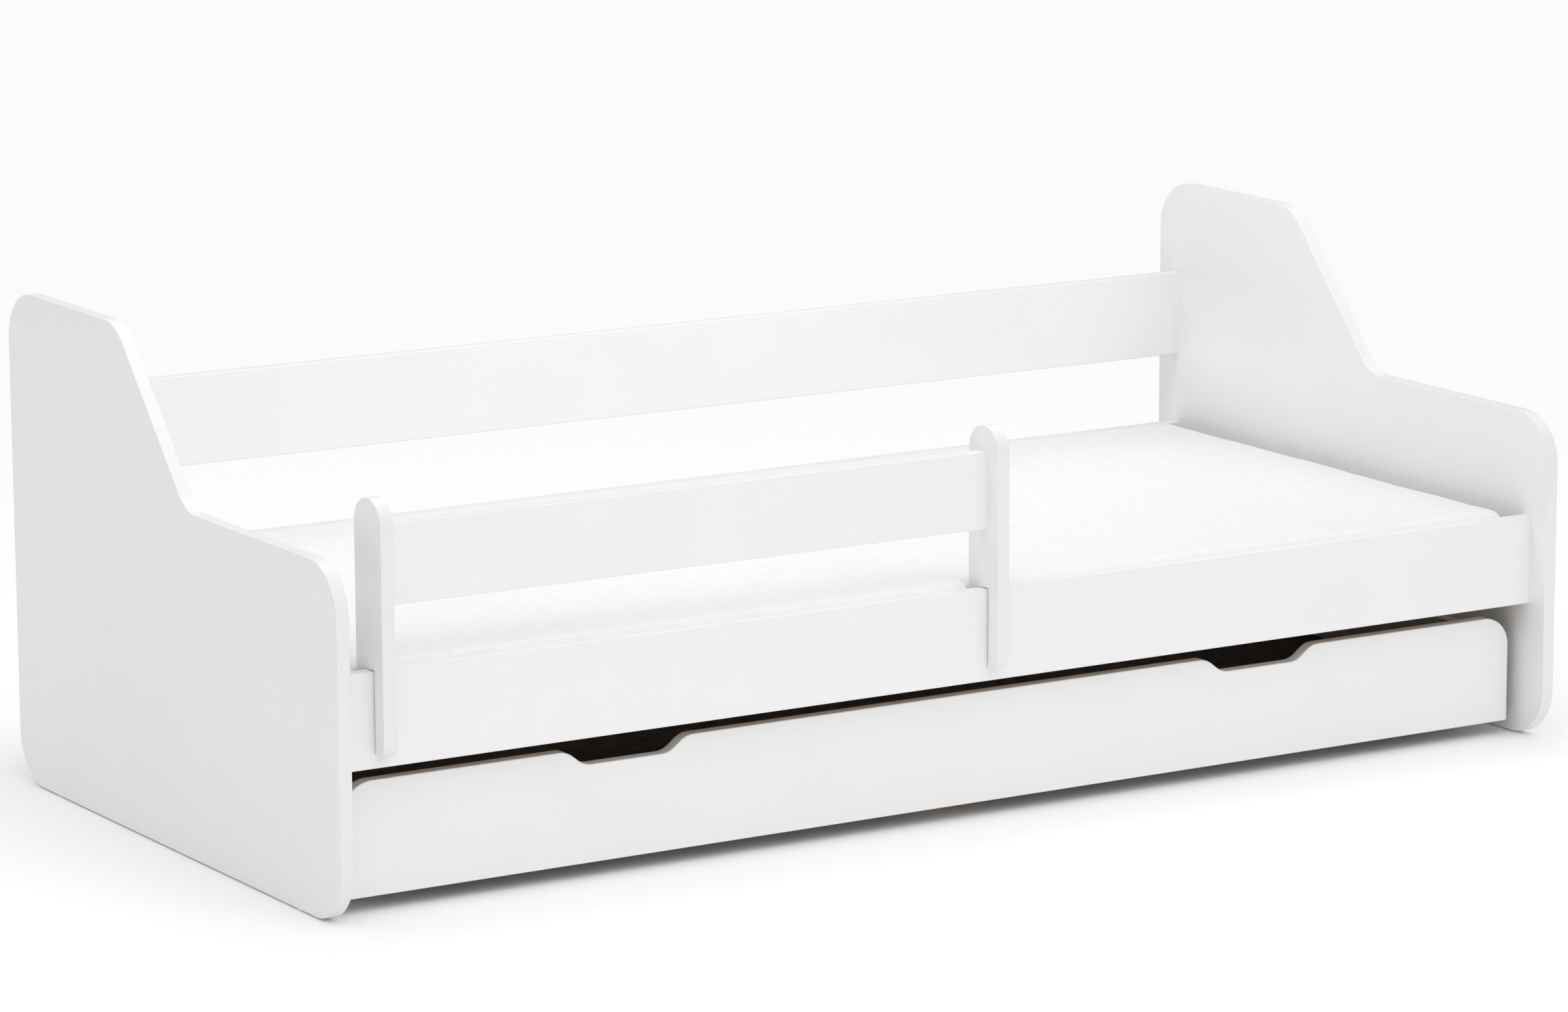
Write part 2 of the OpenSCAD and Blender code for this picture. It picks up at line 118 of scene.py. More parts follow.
def rounded_loop(corners: np.ndarray, arc_points: int, guard: float) -> tuple[np.ndarray, np.ndarray]:
    """Closed loop through corners that are each replaced by an arc.

    An arc's centre lies on its corner's bisector, at the radius over the sine of half the corner's
    angle, and the arc is swept evenly between the two places where it touches the edges. One more point
    stands on each edge just outside the arc, which keeps the flats flat when the shading is smooth.

    Args:
        corners: Rows of (across, up, radius), anticlockwise.
        arc_points: Number of points on each arc.
        guard: Distance of the outside point from the end of its arc.

    Returns:
        The loop's points and its outward normals.
    """
    place, radius = corners[:, :2], corners[:, 2]
    to_next = np.roll(place, -1, 0) - place
    side = np.linalg.norm(to_next, axis=1)
    to_next = unit(to_next)
    to_last = -np.roll(to_next, 1, 0)
    half = np.arccos(np.clip((to_last * to_next).sum(1), -1, 1)) / 2
    reach = radius / np.tan(half)
    centre = place + unit(to_last + to_next) * (radius / np.sin(half))[:, None]
    start = place + to_last * reach[:, None] - centre
    stop = place + to_next * reach[:, None] - centre
    first = np.arctan2(start[:, 1], start[:, 0])
    sweep = (np.arctan2(stop[:, 1], stop[:, 0]) - first + np.pi) % (2 * np.pi) - np.pi
    angle = first[:, None] + sweep[:, None] * np.linspace(0, 1, arc_points)
    radial = np.stack([np.cos(angle), np.sin(angle)], -1)
    arc = centre[:, None] + radius[:, None, None] * radial
    outward = radial * np.sign(sweep)[:, None, None]
    after = np.clip(0.4 * (side - reach - np.roll(reach, -1)), 1e-7, guard)
    before = np.roll(after, 1)
    points = np.concatenate(
        [
            arc[:, :1] + (to_last * before[:, None])[:, None],
            arc,
            arc[:, -1:] + (to_next * after[:, None])[:, None],
        ],
        1,
    )
    normals = np.concatenate([outward[:, :1], outward, outward[:, -1:]], 1)
    return points.reshape(-1, 2), normals.reshape(-1, 2)


def rectangle(low: Sequence[float], high: Sequence[float], radius: float) -> np.ndarray:
    """Rectangle with the same radius at each corner.

    Args:
        low: Its lowest corner.
        high: Its highest corner.
        radius: The radius.

    Returns:
        Rows of (across, up, radius), anticlockwise.
    """
    (left, bottom), (right, top) = low, high
    sides = [[left, bottom], [right, bottom], [right, top], [left, top]]
    return np.column_stack([sides, np.full(4, radius)])


def grid_faces(rows: int, columns: int, closed: bool, first: int = 0) -> np.ndarray:
    """Four-sided faces of a grid of points numbered row by row.

    Args:
        rows: Number of rows.
        columns: Number of points in a row.
        closed: Whether the last point of a row joins its first.
        first: Number of the grid's first point.

    Returns:
        One row of four point numbers for each face.
    """
    number = np.arange(rows * columns).reshape(rows, columns) + first
    right = np.roll(number, -1, 1)
    quads = np.stack([number[:-1], right[:-1], right[1:], number[1:]], -1)
    return (quads if closed else quads[:, :-1]).reshape(-1, 4)


def cut_board(
    corners: np.ndarray, lie: Lie, low: float, high: float, edge: float, arc_points: int = 20
) -> Patch:
    """Board sawn to an outline, with its edges rounded.

    The section carried round the outline is a flat, a quarter circle, the straight edge, a quarter
    circle and a flat: on the quarter circles the inset is the radius less its sine part and the depth is
    the radius less its cosine part. The two flats are closed with one face each.

    Args:
        corners: Rows of (across, up, radius) of the outline, anticlockwise.
        lie: How the board lies.
        low: Lowest place of the board along its thickness.
        high: Highest place of the board along its thickness.
        edge: Radius of the rounded edges.
        arc_points: Number of points on each arc of the outline.

    Returns:
        The board, with finish 0 on its flats and 1 on its edges.
    """
    loop, outward = rounded_loop(corners, arc_points, 1.2 * MM)
    turn = np.linspace(0, np.pi / 2, 6)
    support = 0.3 * edge
    half_inset = np.concatenate([[edge + support], edge * (1 - np.sin(turn)), [0.0]])
    half_depth = np.concatenate([[0.0], edge * (1 - np.cos(turn)), [edge + support]])
    inset = np.concatenate([half_inset, half_inset[::-1]])
    depth = np.concatenate([half_depth, high - low - half_depth[::-1]])
    rings = loop - inset[:, None, None] * outward
    rows, columns = len(inset), len(loop)
    points = np.empty((rows, columns, 3))
    points[..., lie.value[0]] = rings[..., 0]
    points[..., lie.value[1]] = rings[..., 1]
    points[..., lie.value[2]] = low + depth[:, None]
    quads = grid_faces(rows, columns, True)
    row = np.repeat(np.arange(rows - 1), columns)
    band = (row >= 2) & (row < rows - 3)
    ends = np.arange(columns)
    return Patch(
        points.reshape(-1, 3),
        [*quads.tolist(), ends.tolist(), (ends + (rows - 1) * columns).tolist()],
        [*band.astype(int).tolist(), 0, 0],
    )


def row_line(
    ends: tuple[float, float], level: float, places: np.ndarray, radius: float, side: int
) -> np.ndarray:
    """Line along a face that goes round each pocket on it.

    Args:
        ends: The line's two ends.
        level: Its level across the face.
        places: Middles of the pockets along the line; empty for a plain line.
        radius: Radius of a pocket.
        side: 1 to go round on the high side and -1 on the low side.

    Returns:
        Points (along, across).
    """
    turn = np.linspace(np.pi, 0, POCKET_STEPS // 2 + 1)
    along = (places[:, None] + radius * np.cos(turn)).ravel()
    across = np.tile(level + side * radius * np.sin(turn), len(places))
    return np.concatenate([[[ends[0], level]], np.stack([along, across], -1), [[ends[1], level]]])


@dataclass(frozen=True)
class Pockets:
    """Round pockets bored into one face of a board: where they are, how wide and how deep."""

    along: tuple[float, ...]
    across: tuple[float, ...]
    radius: float = 7.7 * MM
    depth: float = 12.7 * MM


def bored_board(
    low: np.ndarray, high: np.ndarray, order: Axes, edge: float, face: Face, pockets: Pockets
) -> Patch:
    """Straight board with rounded long edges, square ends and round pockets in one face.

    A rounded rectangle is carried along the board's length. The face that holds the pockets is made of
    strips between the rows of pockets, whose borders follow half a circle round each one, and every
    pocket is a ring of wall with a flat bottom.

    Args:
        low: Lowest corner of the board.
        high: Highest corner of the board.
        order: The axes along, across and through the board.
        edge: Radius of the long edges.
        face: The face that the pockets open on.
        pockets: The pockets.

    Returns:
        The board, with finish 0 on its two faces and 1 on its edges.
    """
    (a0, b0), (a1, b1) = low[list(order[:2])], high[list(order[:2])]
    half = (high - low)[order[2]] / 2
    middle = (high + low)[order[2]] / 2
    ring, _ = rounded_loop(rectangle((b0, -half), (b1, half), edge), 6, 0.4 * edge)
    each = len(ring) // 4
    levels = np.sort(np.array(pockets.across))
    rows = np.stack([levels[::-1], np.full(len(levels), half)], -1)
    ring = np.concatenate([ring[: 3 * each], rows, ring[3 * each :]])
    count = len(ring)
    hidden = (np.arange(count) >= 3 * each - 1) & (np.arange(count) < 3 * each + len(levels))
    swept = np.concatenate([np.column_stack([np.full(count, a), ring]) for a in (a0, a1)])
    quads = grid_faces(2, count, True)[~hidden]
    flat = np.isclose(np.abs(ring[:, 1]), half) & np.isclose(np.abs(np.roll(ring[:, 1], -1)), half)
    points, faces = [swept], [*quads.tolist(), list(range(count)), list(range(count, 2 * count))]
    finish = [*(~flat[~hidden]).astype(int).tolist(), 1, 1]
    total = len(swept)

    places = np.array(sorted(pockets.along))
    borders = [ring[3 * each + len(levels), 0], *levels, ring[3 * each - 1, 0]]
    for k in range(len(borders) - 1):
        below = row_line((a0, a1), borders[k], places if k else places[:0], pockets.radius, 1)
        last = k == len(borders) - 2
        above = row_line((a0, a1), borders[k + 1], places[:0] if last else places, pockets.radius, -1)
        strip = np.concatenate([below, above[::-1]])
        points.append(np.column_stack([strip, np.full(len(strip), half)]))
        faces.append(list(range(total, total + len(strip))))
        finish.append(0)
        total += len(strip)

    turn = np.linspace(0, 2 * np.pi, POCKET_STEPS, endpoint=False)
    round_one = pockets.radius * np.stack([np.cos(turn), np.sin(turn)], -1)
    depths = np.repeat([half, half - pockets.depth], POCKET_STEPS)
    for level in levels:
        for place in places:
            circle = np.array([place, level]) + round_one
            points.append(np.column_stack([np.tile(circle, (2, 1)), depths]))
            faces += grid_faces(2, POCKET_STEPS, True, total).tolist()
            total += 2 * POCKET_STEPS
            faces.append(list(range(total - POCKET_STEPS, total)))
            finish += [1] * (POCKET_STEPS + 1)
    local = np.concatenate(points)
    placed = np.empty_like(local)
    placed[:, order[0]] = local[:, 0]
    placed[:, order[1]] = local[:, 1]
    placed[:, order[2]] = middle + face.value * local[:, 2]
    return Patch(placed, faces, finish)


def turned(profile: np.ndarray, centre: np.ndarray, turns: int = 64) -> Patch:
    """Solid of revolution about an axis along X.

    The closed profile (along, radius) is swept round in a circle.

    Args:
        profile: Rows of (along, radius), a closed loop.
        centre: Middle of the solid.
        turns: Number of steps round the circle.

    Returns:
        The solid, all in finish 0.
    """
    angle = np.linspace(0, 2 * np.pi, turns, endpoint=False)[:, None]
    points = np.stack(
        [
            centre[0] + profile[:, 0] + 0 * angle,
            centre[1] + profile[:, 1] * np.cos(angle),
            centre[2] + profile[:, 1] * np.sin(angle),
        ],
        -1,
    )
    number = np.arange(turns * len(profile)).reshape(turns, -1)
    on, up = np.roll(number, -1, 1), np.roll(number, -1, 0)
    quads = np.stack([number, on, np.roll(up, -1, 1), up], -1).reshape(-1, 4)
    return Patch(points.reshape(-1, 3), quads.tolist(), [0] * len(quads))


def soft_noise(across: np.ndarray, up: np.ndarray, size: float, seed: int, waves: int = 14) -> np.ndarray:
    """Smooth unevenness: the mean of plane sine waves of about one length in seeded random directions.

    Args:
        across: First coordinate of every point.
        up: Second coordinate of every point.
        size: Usual length of a wave.
        seed: Seed of the directions, lengths and phases.
        waves: Number of waves.

    Returns:
        A height for every point, mostly between -1 and 1.
    """
    draw = np.random.default_rng(seed)
    heading = draw.uniform(0, np.pi, waves)
    length = size * draw.uniform(0.7, 1.6, waves)
    phase = draw.uniform(0, 2 * np.pi, waves)
    along = across[..., None] * np.cos(heading) + up[..., None] * np.sin(heading)
    return np.sin(2 * np.pi * along / length + phase).sum(-1) * math.sqrt(2 / waves) / 1.6


# ---- Pieces ----------------------------------------------------------------


def build_mesh(name: str, patches: Sequence[Patch], weld: float = 1e-6) -> bpy.types.Mesh:
    """Joins patches into one closed mesh whose faces point outwards.

    Args:
        name: Name of the mesh.
        patches: The patches.
        weld: Points closer than this become one.

    Returns:
        The mesh, smooth where its faces meet at less than 35 degrees.
    """
    offsets = np.cumsum([0] + [len(p.points) for p in patches])
    points = np.concatenate([p.points for p in patches])
    faces = [[int(i + o) for i in face] for p, o in zip(patches, offsets) for face in p.faces]
    mesh = bpy.data.meshes.new(name)
    mesh.from_pydata(points.tolist(), [], faces)
    finish = np.concatenate([p.finish for p in patches]).astype(np.int32)
    mesh.polygons.foreach_set("material_index", finish)
    work = bmesh.new()
    work.from_mesh(mesh)
    bmesh.ops.remove_doubles(work, verts=work.verts, dist=weld)
    bmesh.ops.recalc_face_normals(work, faces=work.faces)
    work.to_mesh(mesh)
    work.free()
    mesh.polygons.foreach_set("use_smooth", np.ones(len(mesh.polygons), bool))
    mesh.set_sharp_from_angle(angle=SMOOTH_BELOW)
    mesh.update()
    return mesh


def add_piece(
    name: str,
    patches: Sequence[Patch],
    finishes: Sequence[Material],
    body: str,
    nodes: Sequence[str] = (),
) -> bpy.types.Object:
    """Makes a piece, puts it on its body and hides the solids that it stands for.

    Args:
        name: Name of the piece.
        patches: Its surfaces.
        finishes: Its materials, in the order of the patches' finish numbers.
        body: The body that it rides on.
        nodes: The solids that it stands for.

    Returns:
        The piece.
    """
    mesh = build_mesh(name, patches)
    for finish in finishes:
        mesh.materials.append(finish)
    piece = bpy.data.objects.new(name, mesh)
    bpy.context.scene.collection.objects.link(piece)
    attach(piece, body)
    if nodes:
        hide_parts(*nodes)
    log.info("%s: %d faces on %s", name, len(mesh.polygons), body)
    return piece


def dress(nodes: Sequence[str], finish: Material) -> None:
    """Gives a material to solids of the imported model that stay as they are.

    Args:
        nodes: The solids.
        finish: The material.
    """
    for node in nodes:
        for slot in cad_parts[node].material_slots:
            slot.material = finish
        log.info("%s: dressed in %s", node, finish.name)


# ---- Finishes --------------------------------------------------------------


class Sheet:
    """A new material and short ways of adding and joining its nodes."""

    def __init__(self, name: str, **settings: float | Colour) -> None:
        """Starts a material whose surface settings are constants.

        Args:
            name: Name of the material.
            **settings: Surface inputs by name, with _ for a space.
        """
        self.material = bpy.data.materials.new(name)
        self.material.use_nodes = True
        self.tree = self.material.node_tree
        self.surface = self.tree.nodes["Principled BSDF"]
        for key, value in settings.items():
            socket = self.surface.inputs[key.replace("_", " ")]
            socket.default_value = (*value, 1.0) if isinstance(value, tuple) else value
        self.place = self.add("ShaderNodeTexCoord").outputs["Object"]

    def add(self, kind: str, **inputs: object) -> bpy.types.Node:
        """Adds a node.

        Args:
            kind: Type of the node.
            **inputs: Its inputs by name, each a constant or an output to join.

        Returns:
            The node.
        """
        node = self.tree.nodes.new(kind)
        for key, value in inputs.items():
            socket = node.inputs[key.replace("_", " ")]
            if isinstance(value, Socket):
                self.tree.links.new(value, socket)
            else:
                socket.default_value = value
        return node

    def drawn(self, run: Run, share: float) -> Socket:
        """Scales the place on the piece along one axis, so that a pattern is drawn out there.

        Args:
            run: The axis.
            share: The scale along it.

        Returns:
            The scaled place.
        """
        scale = [1.0, 1.0, 1.0]
        scale[run.value] = share
        return self.add("ShaderNodeMapping", Vector=self.place, Scale=scale).outputs[0]

    def noise(self, scale: float, detail: float = 2.0, place: Socket | None = None) -> Socket:
        """Returns a noise of that many cells to the metre."""
        inputs = {"Vector": place or self.place, "Scale": scale, "Detail": detail}
        return self.add("ShaderNodeTexNoise", **inputs).outputs["Fac"]

    def ranged(self, value: Socket, low: float, high: float) -> Socket:
        """Returns a value from 0.3 to 0.7 taken to a new range."""
        limits = {"From_Min": 0.3, "From_Max": 0.7, "To_Min": low, "To_Max": high}
        return self.add("ShaderNodeMapRange", Value=value, **limits).outputs[0]

    def blend(self, share: Socket, first: Colour, second: Colour) -> Socket:
        """Mixes two colours.

        Args:
            share: How much of the second, from 0 to 1.
            first: The first colour.
            second: The second colour.

        Returns:
            The mixed colour.
        """
        node = self.tree.nodes.new("ShaderNodeMix")
        node.data_type = "RGBA"
        self.tree.links.new(share, node.inputs["Factor"])
        node.inputs[6].default_value = (*first, 1.0)
        node.inputs[7].default_value = (*second, 1.0)
        return node.outputs[2]

    def sum_up(self, operation: str, *values: Socket | float) -> Socket:
        """Works out a sum.

        Args:
            operation: Kind of sum.
            *values: Its values, each a constant or an output to join.

        Returns:
            The outcome.
        """
        node = self.tree.nodes.new("ShaderNodeMath")
        node.operation = operation
        for socket, value in zip(node.inputs, values):
            if isinstance(value, float):
                socket.default_value = value
            else:
                self.tree.links.new(value, socket)
        return node.outputs[0]

    def total(self, first: Socket, second: Socket, weight: float) -> Socket:
        """Returns the first value plus the second times a weight."""
        return self.sum_up("MULTIPLY_ADD", second, weight, first)

    def product(self, first: Socket, second: Socket) -> Socket:
        """Returns one value times another."""
        return self.sum_up("MULTIPLY", first, second)

    def below(self, height: float, fade: float) -> Socket:
        """Returns 0 above a height on the piece, rising to 1 over the distance below it."""
        up = self.add("ShaderNodeSeparateXYZ", Vector=self.place).outputs["Z"]
        limits = {"From_Min": height - fade, "From_Max": height, "To_Min": 1.0, "To_Max": 0.0}
        return self.add("ShaderNodeMapRange", Value=up, **limits).outputs[0]

    def wave(self, axis: str, scale: float, twist: float = 0.0, place: Socket | None = None) -> Socket:
        """Bands across an axis, twisted by noise.

        Args:
            axis: The axis.
            scale: How close the bands are; 20 / (2 pi) bands to the metre for each 1.
            twist: Strength of the noise.
            place: Where the bands are read; the place on the piece if left out.

        Returns:
            A value from 0 to 1.
        """
        inputs = {"Vector": place or self.place, "Scale": scale, "Distortion": twist, "Detail": 2.0}
        node = self.add("ShaderNodeTexWave", **inputs)
        node.bands_direction = axis
        return node.outputs["Fac"]

    def relief(self, height: Socket, depth: float, strength: float = 1.0) -> None:
        """Presses a height into the surface's normal, depth in metres."""
        bump = self.add("ShaderNodeBump", Height=height, Distance=depth, Strength=strength)
        self.join(bump.outputs[0], "Normal")

    def colour(self, share: Socket, first: Colour, second: Colour) -> None:
        """Gives the surface a colour between two, by a share from 0 to 1."""
        self.join(self.blend(share, first, second), "Base Color")

    def gloss(self, value: Socket, smooth: float, rough: float) -> None:
        """Gives the surface a roughness that follows a value from 0.3 to 0.7."""
        self.join(self.ranged(value, smooth, rough), "Roughness")

    def join(self, output: Socket, name: str) -> None:
        """Joins an output to one of the surface's inputs."""
        self.tree.links.new(output, self.surface.inputs[name])


@dataclass(frozen=True)
class Laminate:
    """Satin white melamine on board: a very fine pearl relief, with barely uneven colour and gloss."""

    name: str
    light: Colour
    dark: Colour
    gloss: tuple[float, float]
    pearl: float
    depth: float

    def make(self) -> Material:
        """Returns the material."""
        sheet = Sheet(self.name, Specular_IOR_Level=0.42)
        broad = sheet.noise(7.0, 3.0)
        sheet.colour(sheet.ranged(broad, 0.0, 1.0), self.dark, self.light)
        sheet.gloss(sheet.noise(45.0, 4.0), *self.gloss)
        sheet.relief(sheet.noise(self.pearl, 1.0), self.depth, 0.5)
        return sheet.material


@dataclass(frozen=True)
class Pine:
    """Planed pine: growth rings drawn out along the board, fine fibres and a few darker streaks."""

    name: str
    run: Run
    pale: Colour = (0.64, 0.44, 0.23)
    ring: Colour = (0.47, 0.28, 0.125)
    ring_draw: float = 0.045
    fibre_draw: float = 0.02

    def make(self) -> Material:
        """Returns the material."""
        sheet = Sheet(self.name, Specular_IOR_Level=0.3)
        place = sheet.drawn(self.run, self.ring_draw)
        rings = sheet.wave("DIAGONAL", 22.0, 9.0, place)
        fibre = sheet.noise(900.0, 3.0, sheet.drawn(self.run, self.fibre_draw))
        share = sheet.total(sheet.ranged(sheet.noise(9.0, 3.0, place), 0.0, 0.45), rings, 0.5)
        sheet.colour(share, self.pale, self.ring)
        sheet.gloss(fibre, 0.5, 0.66)
        sheet.relief(sheet.total(fibre, rings, 0.4), 0.0002, 0.5)
        return sheet.material


@dataclass(frozen=True)
class Knit:
    """White cotton jersey: rows of small loops, a soft nap and faint mottling, with painted shade in
    rough specks low on the front roll beside the rail.
    """

    name: str
    light: Colour
    dark: Colour
    loop: float = 1.5 * MM
    shaded_rough_top: float = 305 * MM

    def make(self) -> Material:
        """Returns the material."""
        sheet = Sheet(
            self.name,
            Roughness=0.92,
            Specular_IOR_Level=0.2,
            Sheen_Weight=0.25,
            Sheen_Roughness=0.45,
            Sheen_Tint=(1.0, 1.0, 1.0),
        )
        # Painted shade: below the rail's top the cover is coloured darker in specks, standing in for the
        # shade where the roll meets the rail; the same specks also roughen the bump.
        edge = sheet.below(self.shaded_rough_top, 4 * MM)
        shade_and_rough_speck = sheet.product(sheet.noise(260.0, 2.0), edge)
        mottle = sheet.ranged(sheet.noise(55.0, 4.0), 1.0, 0.0)
        sheet.colour(sheet.total(mottle, shade_and_rough_speck, 2.4), self.light, self.dark)
        close = math.pi / (10.0 * self.loop)
        wales = sheet.wave("X", close, 0.6)
        courses = sheet.wave("Y", close, 0.6)
        rise = sheet.wave("Z", close, 0.6)
        loops = sheet.total(sheet.total(wales, courses, 1.0), rise, 1.0)
        nap = sheet.noise(420.0, 3.0)
        sheet.relief(sheet.total(sheet.total(loops, nap, 3.0), shade_and_rough_speck, 22.0), 0.00022, 0.45)
        return sheet.material


@dataclass(frozen=True)
class Webbing:
    """Woven polyester tape: a fine basket of warp and weft."""

    name: str
    light: Colour = (0.78, 0.78, 0.76)
    dark: Colour = (0.55, 0.55, 0.53)

    def make(self) -> Material:
        """Returns the material."""
        sheet = Sheet(self.name, Roughness=0.8, Specular_IOR_Level=0.25)
        warp = sheet.wave("Y", 260.0)
        weft = sheet.wave("X", 180.0, 0.4)
        share = sheet.total(sheet.ranged(sheet.noise(300.0), 0.0, 0.3), weft, 0.5)
        sheet.colour(share, self.light, self.dark)
        sheet.relief(sheet.total(warp, weft, 1.0), 0.0003, 0.7)
        return sheet.material


@dataclass(frozen=True)
class Zinc:
    """Zinc-plated steel: bright and slightly blue, with cloudy patches and fine turning marks."""

    name: str
    bright: Colour = (0.66, 0.67, 0.69)
    cloud: Colour = (0.48, 0.49, 0.51)

    def make(self) -> Material:
        """Returns the material."""
        sheet = Sheet(self.name, Metallic=1.0)
        patches = sheet.noise(160.0, 4.0)
        sheet.colour(sheet.ranged(patches, 0.0, 1.0), self.cloud, self.bright)
        sheet.gloss(sheet.noise(900.0, 3.0), 0.28, 0.46)
        sheet.relief(sheet.noise(1500.0), 0.00004, 0.5)
        return sheet.material


@dataclass(frozen=True)
class Moulding:
    """Moulded plastic: a fine spark-eroded grain with slightly uneven gloss."""

    name: str
    colour: Colour
    shade: Colour
    gloss: tuple[float, float]

    def make(self) -> Material:
        """Returns the material."""
        sheet = Sheet(self.name, Specular_IOR_Level=0.45)
        cloud = sheet.ranged(sheet.noise(60.0), 0.0, 1.0)
        sheet.colour(cloud, self.shade, self.colour)
        sheet.gloss(sheet.noise(220.0), *self.gloss)
        sheet.relief(sheet.noise(2200.0, 1.0), 0.00006, 0.6)
        return sheet.material


@dataclass(frozen=True)
class Backdrop:
    """Matt white studio floor, barely lit from within."""

    name: str = "studio_white"
    colour: Colour = (0.99, 0.99, 0.99)
    glow: float = 0.03

    def make(self) -> Material:
        """Returns the material."""
        return Sheet(
            self.name,
            Base_Color=self.colour,
            Roughness=0.95,
            Specular_IOR_Level=0.1,
            Emission_Strength=self.glow,
        ).material


class Finishes:
    """Every material of the bed, made once and shared by the pieces."""

    def __init__(self) -> None:
        """Makes the materials."""
        self.board = Laminate(
            "white_laminate", (0.89, 0.89, 0.89), (0.875, 0.875, 0.873), (0.40, 0.50), 1400.0, 0.00004
        ).make()
        # The edge band has its own slightly glossier finish, and it is coloured darker than the faces as
        # painted shade, because the edges stand out into more light.
        self.band = Laminate(
            "white_edge_band_painted_shade", (0.84, 0.84, 0.84), (0.825, 0.825, 0.823), (0.34, 0.42), 900.0, 0.00003
        ).make()
        # The drawer base is brown hardboard coloured much darker than it is, as painted shade for the dim
        # inside of the drawer.
        self.sheet = Laminate(
            "brown_hardboard_and_painted_shade", (0.150, 0.076, 0.036), (0.112, 0.055, 0.026), (0.45, 0.6), 500.0, 0.00008
        ).make()
        self.faced = [self.board, self.band]
        self.pine_across = Pine("pine_across", Run.Y).make()
        self.pine_along = Pine("pine_along", Run.X).make()
        self.dowel = Pine("beech", Run.X, (0.66, 0.46, 0.29), (0.55, 0.36, 0.21)).make()
        self.knit = Knit("cotton_knit", (0.86, 0.86, 0.855), (0.825, 0.825, 0.82)).make()
        self.tape = Webbing("woven_tape").make()
        self.zinc = Zinc("zinc_plate").make()
        self.screw = Zinc("screw_zinc", (0.70, 0.68, 0.60), (0.52, 0.50, 0.44)).make()
        self.glide = Moulding("glide_plastic", (0.78, 0.78, 0.76), (0.72, 0.72, 0.70), (0.35, 0.5)).make()
        self.housing = Moulding(
            "castor_plastic", (0.030, 0.030, 0.032), (0.022, 0.022, 0.024), (0.4, 0.55)
        ).make()
        self.wheel = Moulding(
            "wheel_plastic", (0.055, 0.055, 0.058), (0.042, 0.042, 0.045), (0.3, 0.45)
        ).make()


# ---- The bed ---------------------------------------------------------------


@dataclass
class Frame:
    """End panels and rails, with the fittings that join them."""

    finishes: Finishes
    edge: float = 1.2 * MM
    outer_radius: float = 67 * MM
    hollow_radius: float = 60 * MM
    slope_high: float = 135 * MM
    slope_low: float = -55 * MM
    front_height: float = 445 * MM
    cam_reach: float = 34 * MM
    cam_offsets: tuple[float, float] = (-25 * MM, 35 * MM)

    def build(self) -> None:
        """Builds the panels and the rails and dresses their fittings."""
        self.panel("left_end_panel", "left_end_board")
        self.panel("right_end_panel", "right_end_board")
        self.rail("front_side_rail", "front_side_board")
        self.rail("rear_side_rail", "rear_side_board")
        self.rail("upper_back_rail", "upper_back_board")
        dress(["frame_cam_bolts", "frame_cam_locks"], self.finishes.zinc)
        dress(["frame_dowels"], self.finishes.dowel)
        dress(["floor_glides"], self.finishes.glide)

    def panel(self, node: str, name: str) -> None:
        """Builds one stepped end panel: high at the back, low at the front, with a slope between.

        Args:
            node: The solid that it stands for.
            name: Name of the piece.
        """
        low, high = box_of(node)
        round_off = self.outer_radius
        corners = np.array(
            [
                [low[1], low[2], round_off],
                [high[1], low[2], round_off],
                [high[1], high[2], round_off],
                [self.slope_high, high[2], round_off],
                [self.slope_low, self.front_height, self.hollow_radius],
                [low[1], self.front_height, round_off],
            ]
        )
        board = cut_board(corners, Lie.SIDE, low[0], high[0], self.edge, 32)
        add_piece(name, [board], self.finishes.faced, "frame", [node])

    def rail(self, node: str, name: str) -> None:
        """Builds one rail, bored for its cam locks on its rear face.

        Args:
            node: The solid that it stands for.
            name: Name of the piece.
        """
        low, high = box_of(node)
        middle = (low[2] + high[2]) / 2
        pockets = Pockets(
            (low[0] + self.cam_reach, high[0] - self.cam_reach),
            (middle + self.cam_offsets[0], middle + self.cam_offsets[1]),
        )
        board = bored_board(low, high, (0, 2, 1), self.edge, Face.HIGH, pockets)
        add_piece(name, [board], self.finishes.faced, "frame", [node])


